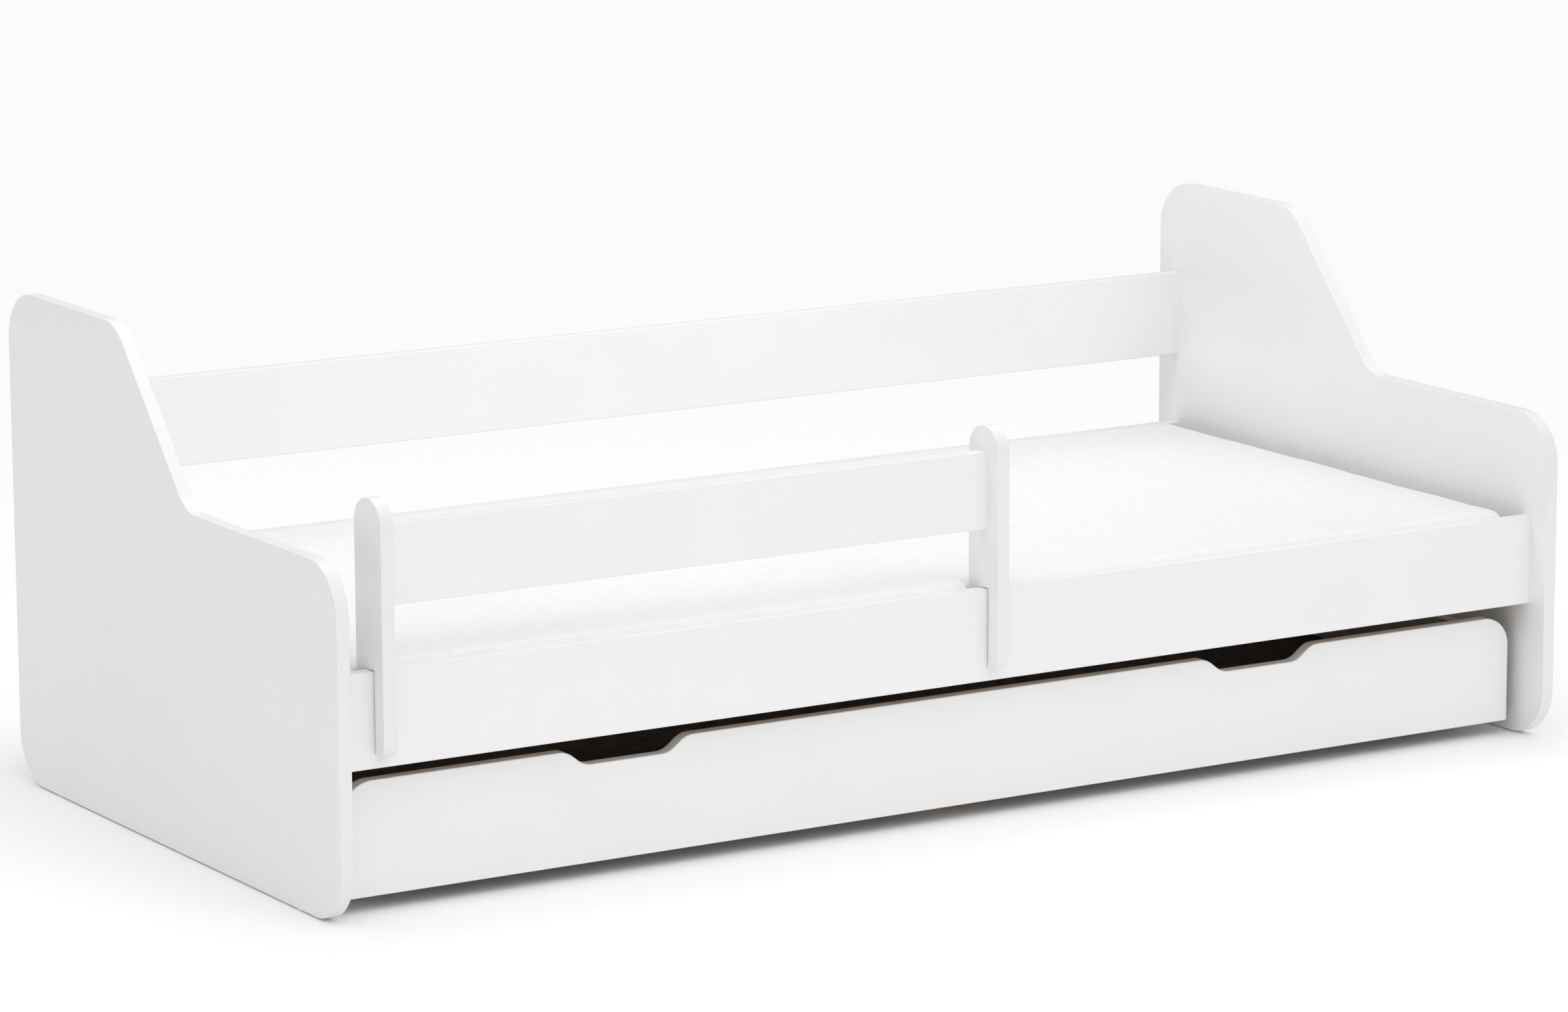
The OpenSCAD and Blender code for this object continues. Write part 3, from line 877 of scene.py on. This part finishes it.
@dataclass
class SlattedBase:
    """Battens on the side rails, and pine slats joined by two woven tapes."""

    finishes: Finishes
    slats: int = 13
    edge: float = 2 * MM
    corner: float = 3 * MM
    sag: float = 0.7 * MM
    tape_rows: int = 400
    tape_share: float = 0.8
    tape_round: float = 0.45

    def build(self) -> None:
        """Builds the slats and the tapes and dresses the battens and their screws."""
        for number in range(1, self.slats + 1):
            self.slat(f"slat_{number:02d}", f"pine_slat_{number:02d}")
        for side in ("front", "rear"):
            self.tape(f"{side}_slat_tape", f"{side}_woven_tape")
        dress(["front_slat_batten", "rear_slat_batten"], self.finishes.pine_along)
        dress(["batten_screws"], self.finishes.screw)

    def slat(self, node: str, name: str) -> None:
        """Builds one slat with rounded edges and corners.

        Args:
            node: The solid that it stands for.
            name: Name of the piece.
        """
        low, high = box_of(node)
        corners = rectangle(low[:2], high[:2], self.corner)
        board = cut_board(corners, Lie.FLAT, low[2], high[2], self.edge, 6)
        finish = self.finishes.pine_across
        add_piece(name, [board], [finish, finish], "frame", [node])

    def tape(self, node: str, name: str) -> None:
        """Builds one tape under the slats.

        A thin rounded section is carried along the bed. The tape hangs by a squared sine of its place
        between two slats, so that it touches each slat and dips in each gap.

        Args:
            node: The solid that it stands for.
            name: Name of the piece.
        """
        low, high = box_of(node)
        first, last = (corner[0] for corner in box_of("slat_01"))
        pitch, width = box_of("slat_02")[0][0] - first, last - first
        along = np.linspace(low[0], high[0], self.tape_rows)
        in_gap = np.clip(((along - first) % pitch - width) / (pitch - width), 0, 1)
        dip = self.sag * np.sin(np.pi * in_gap) ** 2
        thick = (high[2] - low[2]) * self.tape_share
        section = rectangle((low[1], -thick), (high[1], 0), thick * self.tape_round)
        ring, _ = rounded_loop(section, 5, 0.2 * MM)
        count = len(ring)
        points = np.empty((len(along), count, 3))
        points[..., 0] = along[:, None]
        points[..., 1] = ring[:, 0]
        points[..., 2] = high[2] - dip[:, None] + ring[:, 1]
        quads = grid_faces(len(along), count, True).tolist()
        end = (len(along) - 1) * count
        faces = [*quads, list(range(count)), list(range(end, end + count))]
        strap = Patch(points.reshape(-1, 3), faces, [0] * len(faces))
        add_piece(name, [strap], [self.finishes.tape], "frame", [node])


@dataclass
class Mattress:
    """Foam mattress in a white knitted cover, dented at the front by the inner legs of the guard."""

    finishes: Finishes
    roll: tuple[float, float, float] = (12 * MM, 22 * MM, 20 * MM)
    fullness: float = 2.5 * MM
    foot_gap: float = 11 * MM
    step: float = 9 * MM
    fine_step: float = 1.6 * MM
    dent_half: float = 10.4 * MM
    dent_reach: float = 25.6 * MM
    dent_fade: float = 70 * MM
    leg_gap: float = 1.8 * MM
    rail_gap: float = 0.5 * MM
    rise_step: float = 3.5 * MM
    curl_steps: int = 7
    crown: float = 1.6 * MM
    belly: float = 1.2 * MM
    broad: tuple[float, float] = (0.5 * MM, 300 * MM)
    fine: tuple[float, float] = (0.28 * MM, 55 * MM)
    ripple: tuple[float, float] = (0.45 * MM, 90 * MM)
    seam_height: float = 0.42
    seam_depth: float = 1.3 * MM
    seam_width: float = 2.6 * MM

    def build(self) -> None:
        """Builds the padded mattress that stands for the cover and its core."""
        low, high = box_of("mattress_cover")
        high = high + np.array([-self.foot_gap, 0, self.fullness])
        legs = [box_of(node) for node in ("guard_left_post", "guard_right_post")]
        centres = [(a[0] + b[0]) / 2 for a, b in legs]
        points, quads = self.block(low, high, centres)
        points = self.soften(points, low, high)
        points = self.dent(points, low, high, centres, legs[0][1][1])
        padding = Patch(points, quads, [0] * len(quads))
        piece = add_piece(
            "mattress_padding",
            [padding],
            [self.finishes.knit],
            "mattress",
            ["mattress_cover", "mattress_core"],
        )

    def marks(self, half: float, roll: float, step: float, busy: Sequence[float] = ()) -> np.ndarray:
        """Places along one axis of the block: even steps on the flat, then even angles round the roll.

        Args:
            half: Half the block's size along the axis.
            roll: Radius of the roll along the axis.
            step: Length of a step.
            busy: Places round which the steps are fine.

        Returns:
            The places in order.
        """
        flat = half - roll
        inner = np.linspace(-flat, flat, max(3, int(round(2 * flat / step)) + 1))
        count = round(self.dent_reach / self.fine_step)
        for place in busy:
            near = place + self.fine_step * np.arange(-count, count + 1)
            away = inner[np.abs(inner - place) > self.dent_reach + self.fine_step]
            inner = np.sort(np.concatenate([away, near[np.abs(near) < flat - self.fine_step / 2]]))
        inner = np.unique(np.concatenate([[-flat], inner, [flat]]))
        curl = roll * np.tan(np.linspace(0, math.pi / 4, self.curl_steps + 1))[1:]
        return np.concatenate([-flat - curl[::-1], inner, flat + curl])

    def dent(
        self,
        points: np.ndarray,
        low: np.ndarray,
        high: np.ndarray,
        centres: Sequence[float],
        leg_back: float,
    ) -> np.ndarray:
        """Presses the front back round the guard's legs and keeps the sides off the rails.

        Across a leg the push is whole up to just past the leg and then falls off as half a cosine wave.
        It also falls off as half a cosine wave with the depth behind the front.

        Args:
            points: The mattress's points in place.
            low: Lowest corner of the space it fills.
            high: Highest corner of the space it fills.
            centres: Middle of each leg along X.
            leg_back: Rear face of the legs.

        Returns:
            The points, moved back where a leg is.
        """
        x, y = points[:, 0], points[:, 1]
        y = np.clip(y, low[1] - self.rail_gap, high[1] + self.rail_gap)
        floor = leg_back + self.leg_gap
        depth = np.clip((y - low[1]) / self.dent_fade, 0, 1)
        fade = 0.5 + 0.5 * np.cos(math.pi * depth)
        for centre in centres:
            beside = (np.abs(x - centre) - self.dent_half) / (self.dent_reach - self.dent_half)
            push = 0.5 + 0.5 * np.cos(math.pi * np.clip(beside, 0, 1))
            y = y + (floor + MM - low[1]) * push * fade
            y = np.where(beside <= 0, np.maximum(y, floor), y)
        return np.stack([x, y, points[:, 2]], 1)

    def block(
        self, low: np.ndarray, high: np.ndarray, centres: Sequence[float]
    ) -> tuple[np.ndarray, list[list[int]]]:
        """Rounded block from six grids.

        Each point of a plain block is drawn to the nearest point of a smaller block, one roll radius
        inside, and then stands one roll radius out from it in the direction it came from. The radius
        differs along each axis, so a roll is part of an ellipse.

        Args:
            low: Lowest corner.
            high: Highest corner.
            centres: Places along X round which the steps are fine.

        Returns:
            The points about the block's middle, and its faces.
        """
        half = (high - low) / 2
        steps = (self.step, self.step, self.rise_step)
        busy = ([c - (low[0] + high[0]) / 2 for c in centres], (), ())
        marks = [self.marks(*each) for each in zip(half, self.roll, steps, busy)]
        grids, faces, total = [], [], 0
        for axis in range(3):
            one, two = [a for a in range(3) if a != axis]
            u, v = np.meshgrid(marks[one], marks[two], indexing="ij")
            for sign in (-1, 1):
                grid = np.empty((*u.shape, 3))
                grid[..., one], grid[..., two], grid[..., axis] = u, v, sign * half[axis]
                faces += grid_faces(*u.shape, False, total).tolist()
                total += u.size
                grids.append(grid.reshape(-1, 3))
        points = np.concatenate(grids)
        core = self.inside(points, half)
        return core + self.roll * unit((points - core) / self.roll), faces

    def inside(self, points: np.ndarray, half: np.ndarray) -> np.ndarray:
        """Returns the nearest place, to each point, in the block without its rolls."""
        return np.clip(points, self.roll - half, half - self.roll)

    def soften(self, points: np.ndarray, low: np.ndarray, high: np.ndarray) -> np.ndarray:
        """Gives the block its softness.

        The top rises to a slight crown by one minus the fourth power of the place across it, broad and
        fine unevenness is added along the outward direction, the sides belly a little between their
        rolls, and a seam is pressed in round the side by a bell curve of the height above it. The
        underside stays flat on the slats.

        Args:
            points: The block's points about its middle.
            low: Lowest corner of the space it fills.
            high: Highest corner of the space it fills.

        Returns:
            The points in place.
        """
        half = (high - low) / 2
        outward = unit((points - self.inside(points, half)) / self.roll)
        x, y, z = points.T
        across, back, up = (points / half).T
        lift = np.clip(outward[:, 2], 0, 1)
        side = np.sqrt(np.clip(1 - outward[:, 2] ** 2, 0, 1))
        crown = self.crown * lift * (1 - across**4) * (1 - back**4)
        broad = self.broad[0] * soft_noise(x + z, y - z, self.broad[1], 3)
        fine = self.fine[0] * soft_noise(x + z, y + z, self.fine[1], 5)
        ripple = self.ripple[0] * soft_noise(x, y + 2 * z, self.ripple[1], 7) * side
        belly = self.belly * side * np.clip(1 - up**2, 0, 1)
        seam = (z + half[2] - 2 * half[2] * self.seam_height) / self.seam_width
        groove = -self.seam_depth * side**4 * np.exp(-(seam**2))
        swell = crown + (broad + fine) * (lift + 0.5 * side) + ripple + belly + groove
        swell[outward[:, 2] < -0.9] = 0
        return points + outward * swell[:, None] + (low + high) / 2


@dataclass
class Guard:
    """Loose guard: a board between two round-topped posts that straddle the front rail."""

    finishes: Finishes
    edge: float = 1.2 * MM
    notch_gap: float = 2.0 * MM
    notch_relief: float = 1.2 * MM
    notch_fillet: float = 1.5 * MM
    leg_radius: float = 2 * MM
    toe_radius: float = 13 * MM
    heel_height: float = 225 * MM
    heel_radius: float = 8 * MM
    cam_reach: float = 34 * MM
    cam_offset: float = 25 * MM

    def build(self) -> None:
        """Builds the posts and the board and dresses the fittings."""
        self.post("guard_left_post", "guard_left_upright")
        self.post("guard_right_post", "guard_right_upright")
        self.board()
        dress(["guard_cam_bolts", "guard_cam_locks"], self.finishes.zinc)

    def post(self, node: str, name: str) -> None:
        """Builds one post with its notch for the rail and a half-round top.

        Args:
            node: The solid that it stands for.
            name: Name of the piece.
        """
        low, high = box_of(node)
        rail_low, rail_high = box_of("front_side_rail")
        crown = (high[1] - low[1]) / 2 - 0.01 * MM
        corners = np.array(
            [
                [low[1], low[2], self.toe_radius],
                [rail_low[1] - self.notch_gap, low[2], self.leg_radius],
                [rail_low[1] - self.notch_gap, rail_high[2] + self.notch_relief, self.notch_fillet],
                [rail_high[1] + self.notch_gap, rail_high[2], self.notch_fillet],
                [rail_high[1] + self.notch_gap, self.heel_height, self.leg_radius],
                [high[1], self.heel_height, self.heel_radius],
                [high[1], high[2], crown],
                [low[1], high[2], crown],
            ]
        )
        board = cut_board(corners, Lie.SIDE, low[0], high[0], self.edge, 24)
        add_piece(name, [board], self.finishes.faced, "guard", [node])

    def board(self) -> None:
        """Builds the guard board, bored for its cam locks on the inner face."""
        low, high = box_of("guard_board")
        middle = (low[2] + high[2]) / 2
        pockets = Pockets(
            (low[0] + self.cam_reach, high[0] - self.cam_reach),
            (middle - self.cam_offset, middle + self.cam_offset),
        )
        board = bored_board(low, high, (0, 2, 1), self.edge, Face.HIGH, pockets)
        faced = self.finishes.faced
        add_piece("guard_cross_board", [board], faced, "guard", ["guard_board"])


@dataclass
class Drawer:
    """Underbed drawer: a front with two finger cut-outs, sides, back, base and bearers."""

    finishes: Finishes
    edge: float = 1.2 * MM
    sheet_edge: float = 0.4 * MM
    bearer_edge: float = 1.5 * MM
    corner_radius: float = 40 * MM
    foot_radius: float = 2 * MM
    grips: tuple[float, float] = (-492 * MM, 473 * MM)
    grip_width: float = 146 * MM
    grip_depth: float = 20 * MM
    grip_slope: float = math.radians(38)
    grip_radius: float = 30 * MM
    cam_reach: float = 34 * MM
    cam_offset: float = 16 * MM
    cam_height: float = 112 * MM

    def build(self) -> None:
        """Builds the boards and dresses the rest."""
        self.front()
        self.side("drawer_left_side", "drawer_left_board", Face.HIGH)
        self.side("drawer_right_side", "drawer_right_board", Face.LOW)
        self.plain("drawer_back", "drawer_back_board", (0, 2, 1), self.edge, self.finishes.faced)
        # The base sheet's dark colour is partly the hardboard's own brown and partly painted shade for
        # the drawer's inside.
        hardboard = [self.finishes.sheet] * 2
        self.plain("drawer_bottom", "drawer_base_sheet", (0, 1, 2), self.sheet_edge, hardboard)
        for side in ("left", "centre", "right"):
            name = f"drawer_{side}_runner"
            pine = [self.finishes.pine_across] * 2
            self.plain(f"drawer_{side}_bearer", name, (1, 0, 2), self.bearer_edge, pine)
        dress(["drawer_cam_bolts", "drawer_cam_locks"], self.finishes.zinc)
        dress(["drawer_screws", "castor_screws"], self.finishes.screw)

    def grip(self, place: float, top: float) -> list[list[float]]:
        """Corners of one finger cut-out, from its right-hand end to its left-hand end.

        Args:
            place: Its middle along X.
            top: Level of the drawer front's top.

        Returns:
            Rows of (across, up, radius).
        """
        run = self.grip_depth / math.tan(self.grip_slope) / 2
        wide, narrow = self.grip_width / 2 + run, self.grip_width / 2 - run
        return [
            [place + wide, top, self.grip_radius],
            [place + narrow, top - self.grip_depth, self.grip_radius],
            [place - narrow, top - self.grip_depth, self.grip_radius],
            [place - wide, top, self.grip_radius],
        ]

    def front(self) -> None:
        """Builds the drawer front."""
        low, high = box_of("drawer_front")
        corners = np.array(
            [
                [low[0], low[2], self.foot_radius],
                [high[0], low[2], self.foot_radius],
                [high[0], high[2], self.corner_radius],
                *self.grip(self.grips[1], high[2]),
                *self.grip(self.grips[0], high[2]),
                [low[0], high[2], self.corner_radius],
            ]
        )
        board = cut_board(corners, Lie.FRONT, low[1], high[1], self.edge, 20)
        add_piece("drawer_face", [board], self.finishes.faced, "drawer", ["drawer_front"])

    def side(self, node: str, name: str, face: Face) -> None:
        """Builds one side, bored for its cam locks on the inner face.

        Args:
            node: The solid that it stands for.
            name: Name of the piece.
            face: The inner face.
        """
        low, high = box_of(node)
        levels = (self.cam_height - self.cam_offset, self.cam_height + self.cam_offset)
        pockets = Pockets((low[1] + self.cam_reach,), levels)
        board = bored_board(low, high, (1, 2, 0), self.edge, face, pockets)
        add_piece(name, [board], self.finishes.faced, "drawer", [node])

    def plain(self, node: str, name: str, order: Axes, edge: float, finishes: list[Material]) -> None:
        """Builds a straight board without pockets.

        Args:
            node: The solid that it stands for.
            name: Name of the piece.
            order: The axes along, across and through it.
            edge: Radius of its long edges.
            finishes: Materials of its faces and of its edges.
        """
        low, high = box_of(node)
        board = bored_board(low, high, order, edge, Face.HIGH, Pockets((), ()))
        add_piece(name, [board], finishes, "drawer", [node])


@dataclass
class Castors:
    """Four castors under the drawer: plastic wheels between the cheeks of a housing."""

    finishes: Finishes
    recess: float = 2 * MM
    recess_radius: float = 13 * MM
    hub_radius: float = 6 * MM
    bore: float = 3.08 * MM
    bore_round: float = 0.3 * MM
    rim_round: float = 0.5 * MM
    dish_round: float = 0.6 * MM
    tread_round: float = 3 * MM

    def build(self) -> None:
        """Builds the wheels and dresses the housings and axles."""
        for corner in ("front_left", "front_right", "rear_left", "rear_right"):
            self.wheel(corner)
            dress([f"castor_housing_{corner}"], self.finishes.housing)
            dress([f"castor_axle_{corner}"], self.finishes.zinc)

    def wheel(self, corner: str) -> None:
        """Builds one wheel: a turned section with a hub, a dished web and a rounded tread.

        Args:
            corner: The corner of the drawer that it stands at.
        """
        node = f"castor_wheel_{corner}"
        low, high = box_of(node)
        half, radius = (high[0] - low[0]) / 2, (high[2] - low[2]) / 2
        dish = half - self.recess
        right = np.array(
            [
                [half, self.bore, self.bore_round],
                [half, self.hub_radius, self.rim_round],
                [dish, self.hub_radius + self.recess * 0.4, self.dish_round],
                [dish, self.recess_radius, self.dish_round],
                [half, self.recess_radius + self.recess, self.rim_round],
                [half, radius, self.tread_round],
            ]
        )
        left = right[::-1] * (-1, 1, 1)
        profile, _ = rounded_loop(np.concatenate([right, left]), 5, 0.1 * MM)
        wheel = turned(profile, (low + high) / 2)
        slot, finish = "castor_wheel_plastic", [self.finishes.wheel]
        add_piece(f"castor_roller_{corner}", [wheel], finish, f"wheel_{corner}", [node])


# ---- Studio ----------------------------------------------------------------


def hang(name: str, light: bpy.types.Light, place: Place, turn: Place) -> None:
    """Hangs a light.

    Args:
        name: Name of the light.
        light: The light.
        place: Its middle.
        turn: Its turn about X, Y and Z, in degrees.
    """
    lamp = bpy.data.objects.new(name, light)
    lamp.location = place
    lamp.rotation_euler = tuple(math.radians(t) for t in turn)
    bpy.context.scene.collection.objects.link(lamp)


@dataclass(frozen=True)
class Sky:
    """One broad, distant light: its strength, the angle that it fills and its turn, in degrees."""

    name: str
    strength: float
    spread: float
    turn: Place = (0.0, 0.0, 0.0)

    def light(self) -> None:
        """Hangs the light."""
        light = bpy.data.lights.new(self.name, "SUN")
        light.energy = self.strength
        light.angle = math.radians(self.spread)
        hang(self.name, light, (0.0, 0.0, 0.0), self.turn)


@dataclass(frozen=True)
class Softbox:
    """One rectangular softbox that faces straight down: its power in watts, its middle and its size."""

    name: str
    power: float
    place: Place
    size: tuple[float, float]

    def light(self) -> None:
        """Hangs the softbox."""
        light = bpy.data.lights.new(self.name, "AREA")
        light.shape = "RECTANGLE"
        light.energy = self.power
        light.size, light.size_y = self.size
        hang(self.name, light, self.place, (0.0, 0.0, 0.0))


@dataclass
class Studio:
    """Plain white floor, soft even light and the camera."""

    eye: Place = (-4.2535, -6.9125, 1.9622)
    heading: float = 32.563
    dip: float = 11.932
    lens: float = 143.168
    sensor: float = 36.0
    far: float = 200.0
    shift: tuple[float, float] = (-0.07284, 0.04591)
    ambient: float = 0.435
    lamps: tuple[Sky | Softbox, ...] = (
        Sky("top_light", 1.22, 110.0),
        Sky("front_light", 0.565, 70.0, (52.0, 0.0, 0.0)),
        Sky("side_light", 0.06, 70.0, (50.0, 0.0, -90.0)),
        Softbox("bed_light", 3.9, (0.0, 0.05, 1.4), (1.6, 0.5)),
        Softbox("guard_light", 1.2, (-0.6, -0.9, 1.5), (1.0, 1.0)),
    )
    floor_half: float = 40.0
    floor_drop: float = 0.2 * MM
    floor_marks: int = 9

    def build(self) -> None:
        """Builds the floor, the lights and the camera."""
        self.floor()
        self.lights()
        self.camera()

    def floor(self) -> None:
        """Lays the floor, a flat grid just under the glides."""
        marks = np.linspace(-self.floor_half, self.floor_half, self.floor_marks)
        x, y = np.meshgrid(marks, marks, indexing="ij")
        points = np.stack([x, y, np.full_like(x, -self.floor_drop)], -1).reshape(-1, 3)
        faces = grid_faces(self.floor_marks, self.floor_marks, False)
        mesh = bpy.data.meshes.new("studio_floor")
        mesh.from_pydata(points.tolist(), [], faces.tolist())
        mesh.materials.append(Backdrop().make())
        floor = bpy.data.objects.new("studio_floor", mesh)
        bpy.context.scene.collection.objects.link(floor)
        log.info("studio_floor: laid")

    def lights(self) -> None:
        """Sets an even white surround and hangs the lamps."""
        world = bpy.data.worlds.new("studio_surround")
        world.use_nodes = True
        ground = world.node_tree.nodes["Background"]
        ground.inputs["Color"].default_value = (1.0, 1.0, 1.0, 1.0)
        ground.inputs["Strength"].default_value = self.ambient
        bpy.context.scene.world = world
        for lamp in self.lamps:
            lamp.light()
        bpy.context.scene.view_settings.view_transform = "Standard"

    def camera(self) -> None:
        """Sets the camera low in front of the bed's left-hand end, looking towards its right-hand end."""
        camera = bpy.data.cameras.new("camera")
        camera.sensor_width = self.sensor
        camera.lens = self.lens
        camera.shift_x, camera.shift_y = self.shift
        camera.clip_end = self.far
        stand = bpy.data.objects.new("camera", camera)
        stand.location = self.eye
        stand.rotation_euler = (math.radians(90 - self.dip), 0.0, math.radians(-self.heading))
        bpy.context.scene.collection.objects.link(stand)
        bpy.context.scene.camera = stand


def main() -> None:
    """Builds the studio and every part of the bed."""
    Studio().build()
    finishes = Finishes()
    Frame(finishes).build()
    SlattedBase(finishes).build()
    Mattress(finishes).build()
    Guard(finishes).build()
    Drawer(finishes).build()
    Castors(finishes).build()


if __name__ == "__main__":
    main()
